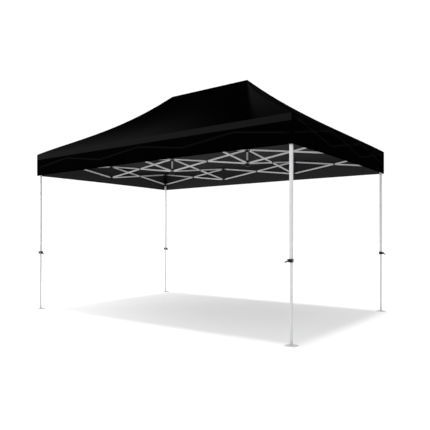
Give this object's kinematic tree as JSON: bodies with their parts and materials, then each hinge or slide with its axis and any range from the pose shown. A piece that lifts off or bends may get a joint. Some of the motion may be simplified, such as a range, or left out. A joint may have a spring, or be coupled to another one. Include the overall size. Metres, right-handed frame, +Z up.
{
  "type": "pop up gazebo",
  "caption": "Folding pop up gazebo: telescoping square legs, a scissor-bar roof frame on sliding corner fittings, peak poles and a black hipped canopy with a straight valance.",
  "frame": {"origin": "on the floor, under the middle of the frame", "axes": "+X along the long side, +Y along the short side from front to back, +Z up"},
  "size_m": [4.524, 3.056, 3.428],
  "materials": {
    "leg_metal": "white powder coat, satin",
    "truss_metal": "white powder coat, satin",
    "black_plastic": "moulded nylon, fine grain",
    "canopy_fabric": "coated woven polyester"
  },
  "bodies": {
    "hub_upper_centre_left": {"hub_upper_centre_left": "black_plastic", "canopy": "canopy_fabric"},
    "hub_upper_centre_right": {"hub_upper_centre_right": "black_plastic"},
    "peak_pole_left": {"peak_pole_left": "leg_metal"},
    "peak_pole_right": {"peak_pole_right": "leg_metal"},
    "bar_middle_centre_fall": {"bar_middle_centre_fall": "truss_metal"},
    "bar_middle_centre_rise": {"bar_middle_centre_rise": "truss_metal"},
    "bar_middle_left_fall": {"bar_middle_left_fall": "truss_metal"},
    "bar_middle_left_rise": {"bar_middle_left_rise": "truss_metal"},
    "bar_middle_right_fall": {"bar_middle_right_fall": "truss_metal"},
    "bar_middle_right_rise": {"bar_middle_right_rise": "truss_metal"},
    "hub_upper_front_left": {"hub_upper_front_left": "black_plastic"},
    "hub_upper_back_left": {"hub_upper_back_left": "black_plastic"},
    "bar_left_hub_front_fall": {"bar_left_hub_front_fall": "truss_metal"},
    "bar_left_hub_front_rise": {"bar_left_hub_front_rise": "truss_metal"},
    "bar_left_hub_back_fall": {"bar_left_hub_back_fall": "truss_metal"},
    "bar_left_hub_back_rise": {"bar_left_hub_back_rise": "truss_metal"},
    "hub_upper_front_right": {"hub_upper_front_right": "black_plastic"},
    "hub_upper_back_right": {"hub_upper_back_right": "black_plastic"},
    "bar_right_hub_front_fall": {"bar_right_hub_front_fall": "truss_metal"},
    "bar_right_hub_front_rise": {"bar_right_hub_front_rise": "truss_metal"},
    "bar_right_hub_back_fall": {"bar_right_hub_back_fall": "truss_metal"},
    "bar_right_hub_back_rise": {"bar_right_hub_back_rise": "truss_metal"},
    "bar_front_centre_fall": {"bar_front_centre_fall": "truss_metal"},
    "bar_front_centre_rise": {"bar_front_centre_rise": "truss_metal"},
    "outer_leg_front_left": {"outer_leg_front_left": "leg_metal"},
    "slider_front_left": {"slider_front_left": "black_plastic"},
    "bar_front_left_fall": {"bar_front_left_fall": "truss_metal"},
    "bar_front_left_rise": {"bar_front_left_rise": "truss_metal"},
    "bar_left_end_front_fall": {"bar_left_end_front_fall": "truss_metal"},
    "bar_left_end_front_rise": {"bar_left_end_front_rise": "truss_metal"},
    "inner_leg_front_left": {"inner_leg_front_left": "leg_metal"},
    "clamp_lever_front_left": {"clamp_lever_front_left": "black_plastic"},
    "outer_leg_front_right": {"outer_leg_front_right": "leg_metal"},
    "slider_front_right": {"slider_front_right": "black_plastic"},
    "bar_front_right_fall": {"bar_front_right_fall": "truss_metal"},
    "bar_front_right_rise": {"bar_front_right_rise": "truss_metal"},
    "bar_right_end_front_fall": {"bar_right_end_front_fall": "truss_metal"},
    "bar_right_end_front_rise": {"bar_right_end_front_rise": "truss_metal"},
    "inner_leg_front_right": {"inner_leg_front_right": "leg_metal"},
    "clamp_lever_front_right": {"clamp_lever_front_right": "black_plastic"},
    "bar_back_centre_fall": {"bar_back_centre_fall": "truss_metal"},
    "bar_back_centre_rise": {"bar_back_centre_rise": "truss_metal"},
    "outer_leg_back_left": {"outer_leg_back_left": "leg_metal"},
    "slider_back_left": {"slider_back_left": "black_plastic"},
    "bar_back_left_fall": {"bar_back_left_fall": "truss_metal"},
    "bar_back_left_rise": {"bar_back_left_rise": "truss_metal"},
    "bar_left_end_back_fall": {"bar_left_end_back_fall": "truss_metal"},
    "bar_left_end_back_rise": {"bar_left_end_back_rise": "truss_metal"},
    "inner_leg_back_left": {"inner_leg_back_left": "leg_metal"},
    "clamp_lever_back_left": {"clamp_lever_back_left": "black_plastic"},
    "outer_leg_back_right": {"outer_leg_back_right": "leg_metal"},
    "slider_back_right": {"slider_back_right": "black_plastic"},
    "bar_back_right_fall": {"bar_back_right_fall": "truss_metal"},
    "bar_back_right_rise": {"bar_back_right_rise": "truss_metal"},
    "bar_right_end_back_fall": {"bar_right_end_back_fall": "truss_metal"},
    "bar_right_end_back_rise": {"bar_right_end_back_rise": "truss_metal"},
    "inner_leg_back_right": {"inner_leg_back_right": "leg_metal"},
    "clamp_lever_back_right": {"clamp_lever_back_right": "black_plastic"}
  },
  "joints": [
    {"name": "frame_fold", "type": "hinge", "parent": "hub_upper_centre_left", "child": "bar_middle_centre_fall", "pos_m": [-0.6975, 0, 2.4], "axis": [0, 1, 0], "range_deg": [0, 78], "deforming": ["canopy"]},
    {"name": "hinge_bar_middle_centre_rise", "type": "hinge", "parent": "bar_middle_centre_fall", "child": "bar_middle_centre_rise", "pos_m": [0, 0, 2.305], "axis": [0, 1, 0], "range_deg": [-156, 0]},
    {"name": "hinge_hub_upper_centre_right", "type": "hinge", "parent": "bar_middle_centre_rise", "child": "hub_upper_centre_right", "pos_m": [0.6975, 0, 2.4], "axis": [0, 1, 0], "range_deg": [0, 78]},
    {"name": "hinge_peak_pole_right", "type": "hinge", "parent": "bar_middle_centre_fall", "child": "peak_pole_right", "pos_m": [0.6975, 0, 2.21], "axis": [0, 1, 0], "range_deg": [-78, 0]},
    {"name": "hinge_peak_pole_left", "type": "hinge", "parent": "bar_middle_centre_rise", "child": "peak_pole_left", "pos_m": [-0.6975, 0, 2.21], "axis": [0, 1, 0], "range_deg": [0, 78]},
    {"name": "hinge_bar_middle_left_rise", "type": "hinge", "parent": "hub_upper_centre_left", "child": "bar_middle_left_rise", "pos_m": [-0.7575, 0, 2.4], "axis": [0, 1, 0], "range_deg": [-78, 0]},
    {"name": "hinge_bar_middle_left_fall", "type": "hinge", "parent": "bar_middle_left_rise", "child": "bar_middle_left_fall", "pos_m": [-1.455, 0, 2.305], "axis": [0, 1, 0], "range_deg": [0, 156]},
    {"name": "hinge_bar_middle_right_fall", "type": "hinge", "parent": "hub_upper_centre_right", "child": "bar_middle_right_fall", "pos_m": [0.7575, 0, 2.4], "axis": [0, 1, 0], "range_deg": [0, 78]},
    {"name": "hinge_bar_middle_right_rise", "type": "hinge", "parent": "bar_middle_right_fall", "child": "bar_middle_right_rise", "pos_m": [1.455, 0, 2.305], "axis": [0, 1, 0], "range_deg": [-156, 0]},
    {"name": "hinge_bar_left_hub_front_rise", "type": "hinge", "parent": "hub_upper_centre_left", "child": "bar_left_hub_front_rise", "pos_m": [-0.7275, -0.03, 2.4], "axis": [-1, 0, 0], "range_deg": [-78, 0]},
    {"name": "hinge_bar_left_hub_front_fall", "type": "hinge", "parent": "bar_left_hub_front_rise", "child": "bar_left_hub_front_fall", "pos_m": [-0.7275, -0.7275, 2.305], "axis": [-1, 0, 0], "range_deg": [0, 156]},
    {"name": "hinge_hub_upper_front_left", "type": "hinge", "parent": "bar_left_hub_front_fall", "child": "hub_upper_front_left", "pos_m": [-0.7275, -1.425, 2.4], "axis": [-1, 0, 0], "range_deg": [-78, 0]},
    {"name": "hinge_bar_left_hub_back_fall", "type": "hinge", "parent": "hub_upper_centre_left", "child": "bar_left_hub_back_fall", "pos_m": [-0.7275, 0.03, 2.4], "axis": [-1, 0, 0], "range_deg": [0, 78]},
    {"name": "hinge_bar_left_hub_back_rise", "type": "hinge", "parent": "bar_left_hub_back_fall", "child": "bar_left_hub_back_rise", "pos_m": [-0.7275, 0.7275, 2.305], "axis": [-1, 0, 0], "range_deg": [-156, 0]},
    {"name": "hinge_hub_upper_back_left", "type": "hinge", "parent": "bar_left_hub_back_rise", "child": "hub_upper_back_left", "pos_m": [-0.7275, 1.425, 2.4], "axis": [-1, 0, 0], "range_deg": [0, 78]},
    {"name": "hinge_bar_right_hub_front_rise", "type": "hinge", "parent": "hub_upper_centre_right", "child": "bar_right_hub_front_rise", "pos_m": [0.7275, -0.03, 2.4], "axis": [-1, 0, 0], "range_deg": [-78, 0]},
    {"name": "hinge_bar_right_hub_front_fall", "type": "hinge", "parent": "bar_right_hub_front_rise", "child": "bar_right_hub_front_fall", "pos_m": [0.7275, -0.7275, 2.305], "axis": [-1, 0, 0], "range_deg": [0, 156]},
    {"name": "hinge_hub_upper_front_right", "type": "hinge", "parent": "bar_right_hub_front_fall", "child": "hub_upper_front_right", "pos_m": [0.7275, -1.425, 2.4], "axis": [-1, 0, 0], "range_deg": [-78, 0]},
    {"name": "hinge_bar_right_hub_back_fall", "type": "hinge", "parent": "hub_upper_centre_right", "child": "bar_right_hub_back_fall", "pos_m": [0.7275, 0.03, 2.4], "axis": [-1, 0, 0], "range_deg": [0, 78]},
    {"name": "hinge_bar_right_hub_back_rise", "type": "hinge", "parent": "bar_right_hub_back_fall", "child": "bar_right_hub_back_rise", "pos_m": [0.7275, 0.7275, 2.305], "axis": [-1, 0, 0], "range_deg": [-156, 0]},
    {"name": "hinge_hub_upper_back_right", "type": "hinge", "parent": "bar_right_hub_back_rise", "child": "hub_upper_back_right", "pos_m": [0.7275, 1.425, 2.4], "axis": [-1, 0, 0], "range_deg": [0, 78]},
    {"name": "hinge_bar_front_centre_fall", "type": "hinge", "parent": "hub_upper_front_left", "child": "bar_front_centre_fall", "pos_m": [-0.6975, -1.47, 2.4], "axis": [0, 1, 0], "range_deg": [0, 78]},
    {"name": "hinge_bar_front_centre_rise", "type": "hinge", "parent": "bar_front_centre_fall", "child": "bar_front_centre_rise", "pos_m": [0, -1.47, 2.305], "axis": [0, 1, 0], "range_deg": [-156, 0]},
    {"name": "hinge_bar_front_left_rise", "type": "hinge", "parent": "hub_upper_front_left", "child": "bar_front_left_rise", "pos_m": [-0.7575, -1.47, 2.4], "axis": [0, 1, 0], "range_deg": [-78, 0]},
    {"name": "hinge_bar_front_left_fall", "type": "hinge", "parent": "bar_front_left_rise", "child": "bar_front_left_fall", "pos_m": [-1.455, -1.47, 2.305], "axis": [0, 1, 0], "range_deg": [0, 156]},
    {"name": "hinge_outer_leg_front_left", "type": "hinge", "parent": "bar_front_left_fall", "child": "outer_leg_front_left", "pos_m": [-2.1525, -1.47, 2.4], "axis": [0, 1, 0], "range_deg": [-78, 0]},
    {"name": "hinge_slider_front_left", "type": "hinge", "parent": "bar_front_left_rise", "child": "slider_front_left", "pos_m": [-2.1525, -1.47, 2.21], "axis": [0, 1, 0], "range_deg": [0, 78]},
    {"name": "hinge_bar_left_end_front_fall", "type": "hinge", "parent": "outer_leg_front_left", "child": "bar_left_end_front_fall", "pos_m": [-2.1975, -1.425, 2.4], "axis": [-1, 0, 0], "range_deg": [0, 78]},
    {"name": "hinge_bar_left_end_front_rise", "type": "hinge", "parent": "bar_left_end_front_fall", "child": "bar_left_end_front_rise", "pos_m": [-2.1975, -0.7275, 2.305], "axis": [-1, 0, 0], "range_deg": [-156, 0]},
    {"name": "leg_slide_front_left", "type": "slide", "parent": "outer_leg_front_left", "child": "inner_leg_front_left", "axis": [0, 0, 1], "range_m": [0, 0.78]},
    {"name": "clamp_front_left", "type": "hinge", "parent": "outer_leg_front_left", "child": "clamp_lever_front_left", "pos_m": [-2.1665, -1.47, 0.886], "axis": [0, -1, 0], "range_deg": [0, 65]},
    {"name": "hinge_bar_front_right_fall", "type": "hinge", "parent": "hub_upper_front_right", "child": "bar_front_right_fall", "pos_m": [0.7575, -1.47, 2.4], "axis": [0, 1, 0], "range_deg": [0, 78]},
    {"name": "hinge_bar_front_right_rise", "type": "hinge", "parent": "bar_front_right_fall", "child": "bar_front_right_rise", "pos_m": [1.455, -1.47, 2.305], "axis": [0, 1, 0], "range_deg": [-156, 0]},
    {"name": "hinge_outer_leg_front_right", "type": "hinge", "parent": "bar_front_right_rise", "child": "outer_leg_front_right", "pos_m": [2.1525, -1.47, 2.4], "axis": [0, 1, 0], "range_deg": [0, 78]},
    {"name": "hinge_slider_front_right", "type": "hinge", "parent": "bar_front_right_fall", "child": "slider_front_right", "pos_m": [2.1525, -1.47, 2.21], "axis": [0, 1, 0], "range_deg": [-78, 0]},
    {"name": "hinge_bar_right_end_front_fall", "type": "hinge", "parent": "outer_leg_front_right", "child": "bar_right_end_front_fall", "pos_m": [2.1975, -1.425, 2.4], "axis": [-1, 0, 0], "range_deg": [0, 78]},
    {"name": "hinge_bar_right_end_front_rise", "type": "hinge", "parent": "bar_right_end_front_fall", "child": "bar_right_end_front_rise", "pos_m": [2.1975, -0.7275, 2.305], "axis": [-1, 0, 0], "range_deg": [-156, 0]},
    {"name": "leg_slide_front_right", "type": "slide", "parent": "outer_leg_front_right", "child": "inner_leg_front_right", "axis": [0, 0, 1], "range_m": [0, 0.78]},
    {"name": "clamp_front_right", "type": "hinge", "parent": "outer_leg_front_right", "child": "clamp_lever_front_right", "pos_m": [2.1665, -1.47, 0.886], "axis": [0, 1, 0], "range_deg": [0, 65]},
    {"name": "hinge_bar_back_centre_fall", "type": "hinge", "parent": "hub_upper_back_left", "child": "bar_back_centre_fall", "pos_m": [-0.6975, 1.47, 2.4], "axis": [0, 1, 0], "range_deg": [0, 78]},
    {"name": "hinge_bar_back_centre_rise", "type": "hinge", "parent": "bar_back_centre_fall", "child": "bar_back_centre_rise", "pos_m": [0, 1.47, 2.305], "axis": [0, 1, 0], "range_deg": [-156, 0]},
    {"name": "hinge_bar_back_left_rise", "type": "hinge", "parent": "hub_upper_back_left", "child": "bar_back_left_rise", "pos_m": [-0.7575, 1.47, 2.4], "axis": [0, 1, 0], "range_deg": [-78, 0]},
    {"name": "hinge_bar_back_left_fall", "type": "hinge", "parent": "bar_back_left_rise", "child": "bar_back_left_fall", "pos_m": [-1.455, 1.47, 2.305], "axis": [0, 1, 0], "range_deg": [0, 156]},
    {"name": "hinge_outer_leg_back_left", "type": "hinge", "parent": "bar_back_left_fall", "child": "outer_leg_back_left", "pos_m": [-2.1525, 1.47, 2.4], "axis": [0, 1, 0], "range_deg": [-78, 0]},
    {"name": "hinge_slider_back_left", "type": "hinge", "parent": "bar_back_left_rise", "child": "slider_back_left", "pos_m": [-2.1525, 1.47, 2.21], "axis": [0, 1, 0], "range_deg": [0, 78]},
    {"name": "hinge_bar_left_end_back_rise", "type": "hinge", "parent": "outer_leg_back_left", "child": "bar_left_end_back_rise", "pos_m": [-2.1975, 1.425, 2.4], "axis": [-1, 0, 0], "range_deg": [-78, 0]},
    {"name": "hinge_bar_left_end_back_fall", "type": "hinge", "parent": "bar_left_end_back_rise", "child": "bar_left_end_back_fall", "pos_m": [-2.1975, 0.7275, 2.305], "axis": [-1, 0, 0], "range_deg": [0, 156]},
    {"name": "leg_slide_back_left", "type": "slide", "parent": "outer_leg_back_left", "child": "inner_leg_back_left", "axis": [0, 0, 1], "range_m": [0, 0.78]},
    {"name": "clamp_back_left", "type": "hinge", "parent": "outer_leg_back_left", "child": "clamp_lever_back_left", "pos_m": [-2.1665, 1.47, 0.886], "axis": [0, -1, 0], "range_deg": [0, 65]},
    {"name": "hinge_bar_back_right_fall", "type": "hinge", "parent": "hub_upper_back_right", "child": "bar_back_right_fall", "pos_m": [0.7575, 1.47, 2.4], "axis": [0, 1, 0], "range_deg": [0, 78]},
    {"name": "hinge_bar_back_right_rise", "type": "hinge", "parent": "bar_back_right_fall", "child": "bar_back_right_rise", "pos_m": [1.455, 1.47, 2.305], "axis": [0, 1, 0], "range_deg": [-156, 0]},
    {"name": "hinge_outer_leg_back_right", "type": "hinge", "parent": "bar_back_right_rise", "child": "outer_leg_back_right", "pos_m": [2.1525, 1.47, 2.4], "axis": [0, 1, 0], "range_deg": [0, 78]},
    {"name": "hinge_slider_back_right", "type": "hinge", "parent": "bar_back_right_fall", "child": "slider_back_right", "pos_m": [2.1525, 1.47, 2.21], "axis": [0, 1, 0], "range_deg": [-78, 0]},
    {"name": "hinge_bar_right_end_back_rise", "type": "hinge", "parent": "outer_leg_back_right", "child": "bar_right_end_back_rise", "pos_m": [2.1975, 1.425, 2.4], "axis": [-1, 0, 0], "range_deg": [-78, 0]},
    {"name": "hinge_bar_right_end_back_fall", "type": "hinge", "parent": "bar_right_end_back_rise", "child": "bar_right_end_back_fall", "pos_m": [2.1975, 0.7275, 2.305], "axis": [-1, 0, 0], "range_deg": [0, 156]},
    {"name": "leg_slide_back_right", "type": "slide", "parent": "outer_leg_back_right", "child": "inner_leg_back_right", "axis": [0, 0, 1], "range_m": [0, 0.78]},
    {"name": "clamp_back_right", "type": "hinge", "parent": "outer_leg_back_right", "child": "clamp_lever_back_right", "pos_m": [2.2285, 1.47, 0.886], "axis": [0, -1, 0], "range_deg": [0, 65]}
  ],
  "couplings": [
    {"joint": "hinge_bar_middle_centre_rise", "follows": "frame_fold", "ratio": -2},
    {"joint": "hinge_hub_upper_centre_right", "follows": "frame_fold", "ratio": 1},
    {"joint": "hinge_peak_pole_right", "follows": "frame_fold", "ratio": -1},
    {"joint": "hinge_peak_pole_left", "follows": "frame_fold", "ratio": 1},
    {"joint": "hinge_bar_middle_left_rise", "follows": "frame_fold", "ratio": -1},
    {"joint": "hinge_bar_middle_left_fall", "follows": "frame_fold", "ratio": 2},
    {"joint": "hinge_bar_middle_right_fall", "follows": "frame_fold", "ratio": 1},
    {"joint": "hinge_bar_middle_right_rise", "follows": "frame_fold", "ratio": -2},
    {"joint": "hinge_bar_left_hub_front_rise", "follows": "frame_fold", "ratio": -1},
    {"joint": "hinge_bar_left_hub_front_fall", "follows": "frame_fold", "ratio": 2},
    {"joint": "hinge_hub_upper_front_left", "follows": "frame_fold", "ratio": -1},
    {"joint": "hinge_bar_left_hub_back_fall", "follows": "frame_fold", "ratio": 1},
    {"joint": "hinge_bar_left_hub_back_rise", "follows": "frame_fold", "ratio": -2},
    {"joint": "hinge_hub_upper_back_left", "follows": "frame_fold", "ratio": 1},
    {"joint": "hinge_bar_right_hub_front_rise", "follows": "frame_fold", "ratio": -1},
    {"joint": "hinge_bar_right_hub_front_fall", "follows": "frame_fold", "ratio": 2},
    {"joint": "hinge_hub_upper_front_right", "follows": "frame_fold", "ratio": -1},
    {"joint": "hinge_bar_right_hub_back_fall", "follows": "frame_fold", "ratio": 1},
    {"joint": "hinge_bar_right_hub_back_rise", "follows": "frame_fold", "ratio": -2},
    {"joint": "hinge_hub_upper_back_right", "follows": "frame_fold", "ratio": 1},
    {"joint": "hinge_bar_front_centre_fall", "follows": "frame_fold", "ratio": 1},
    {"joint": "hinge_bar_front_centre_rise", "follows": "frame_fold", "ratio": -2},
    {"joint": "hinge_bar_front_left_rise", "follows": "frame_fold", "ratio": -1},
    {"joint": "hinge_bar_front_left_fall", "follows": "frame_fold", "ratio": 2},
    {"joint": "hinge_outer_leg_front_left", "follows": "frame_fold", "ratio": -1},
    {"joint": "hinge_slider_front_left", "follows": "frame_fold", "ratio": 1},
    {"joint": "hinge_bar_left_end_front_fall", "follows": "frame_fold", "ratio": 1},
    {"joint": "hinge_bar_left_end_front_rise", "follows": "frame_fold", "ratio": -2},
    {"joint": "hinge_bar_front_right_fall", "follows": "frame_fold", "ratio": 1},
    {"joint": "hinge_bar_front_right_rise", "follows": "frame_fold", "ratio": -2},
    {"joint": "hinge_outer_leg_front_right", "follows": "frame_fold", "ratio": 1},
    {"joint": "hinge_slider_front_right", "follows": "frame_fold", "ratio": -1},
    {"joint": "hinge_bar_right_end_front_fall", "follows": "frame_fold", "ratio": 1},
    {"joint": "hinge_bar_right_end_front_rise", "follows": "frame_fold", "ratio": -2},
    {"joint": "hinge_bar_back_centre_fall", "follows": "frame_fold", "ratio": 1},
    {"joint": "hinge_bar_back_centre_rise", "follows": "frame_fold", "ratio": -2},
    {"joint": "hinge_bar_back_left_rise", "follows": "frame_fold", "ratio": -1},
    {"joint": "hinge_bar_back_left_fall", "follows": "frame_fold", "ratio": 2},
    {"joint": "hinge_outer_leg_back_left", "follows": "frame_fold", "ratio": -1},
    {"joint": "hinge_slider_back_left", "follows": "frame_fold", "ratio": 1},
    {"joint": "hinge_bar_left_end_back_rise", "follows": "frame_fold", "ratio": -1},
    {"joint": "hinge_bar_left_end_back_fall", "follows": "frame_fold", "ratio": 2},
    {"joint": "hinge_bar_back_right_fall", "follows": "frame_fold", "ratio": 1},
    {"joint": "hinge_bar_back_right_rise", "follows": "frame_fold", "ratio": -2},
    {"joint": "hinge_outer_leg_back_right", "follows": "frame_fold", "ratio": 1},
    {"joint": "hinge_slider_back_right", "follows": "frame_fold", "ratio": -1},
    {"joint": "hinge_bar_right_end_back_rise", "follows": "frame_fold", "ratio": -1},
    {"joint": "hinge_bar_right_end_back_fall", "follows": "frame_fold", "ratio": 2}
  ]
}
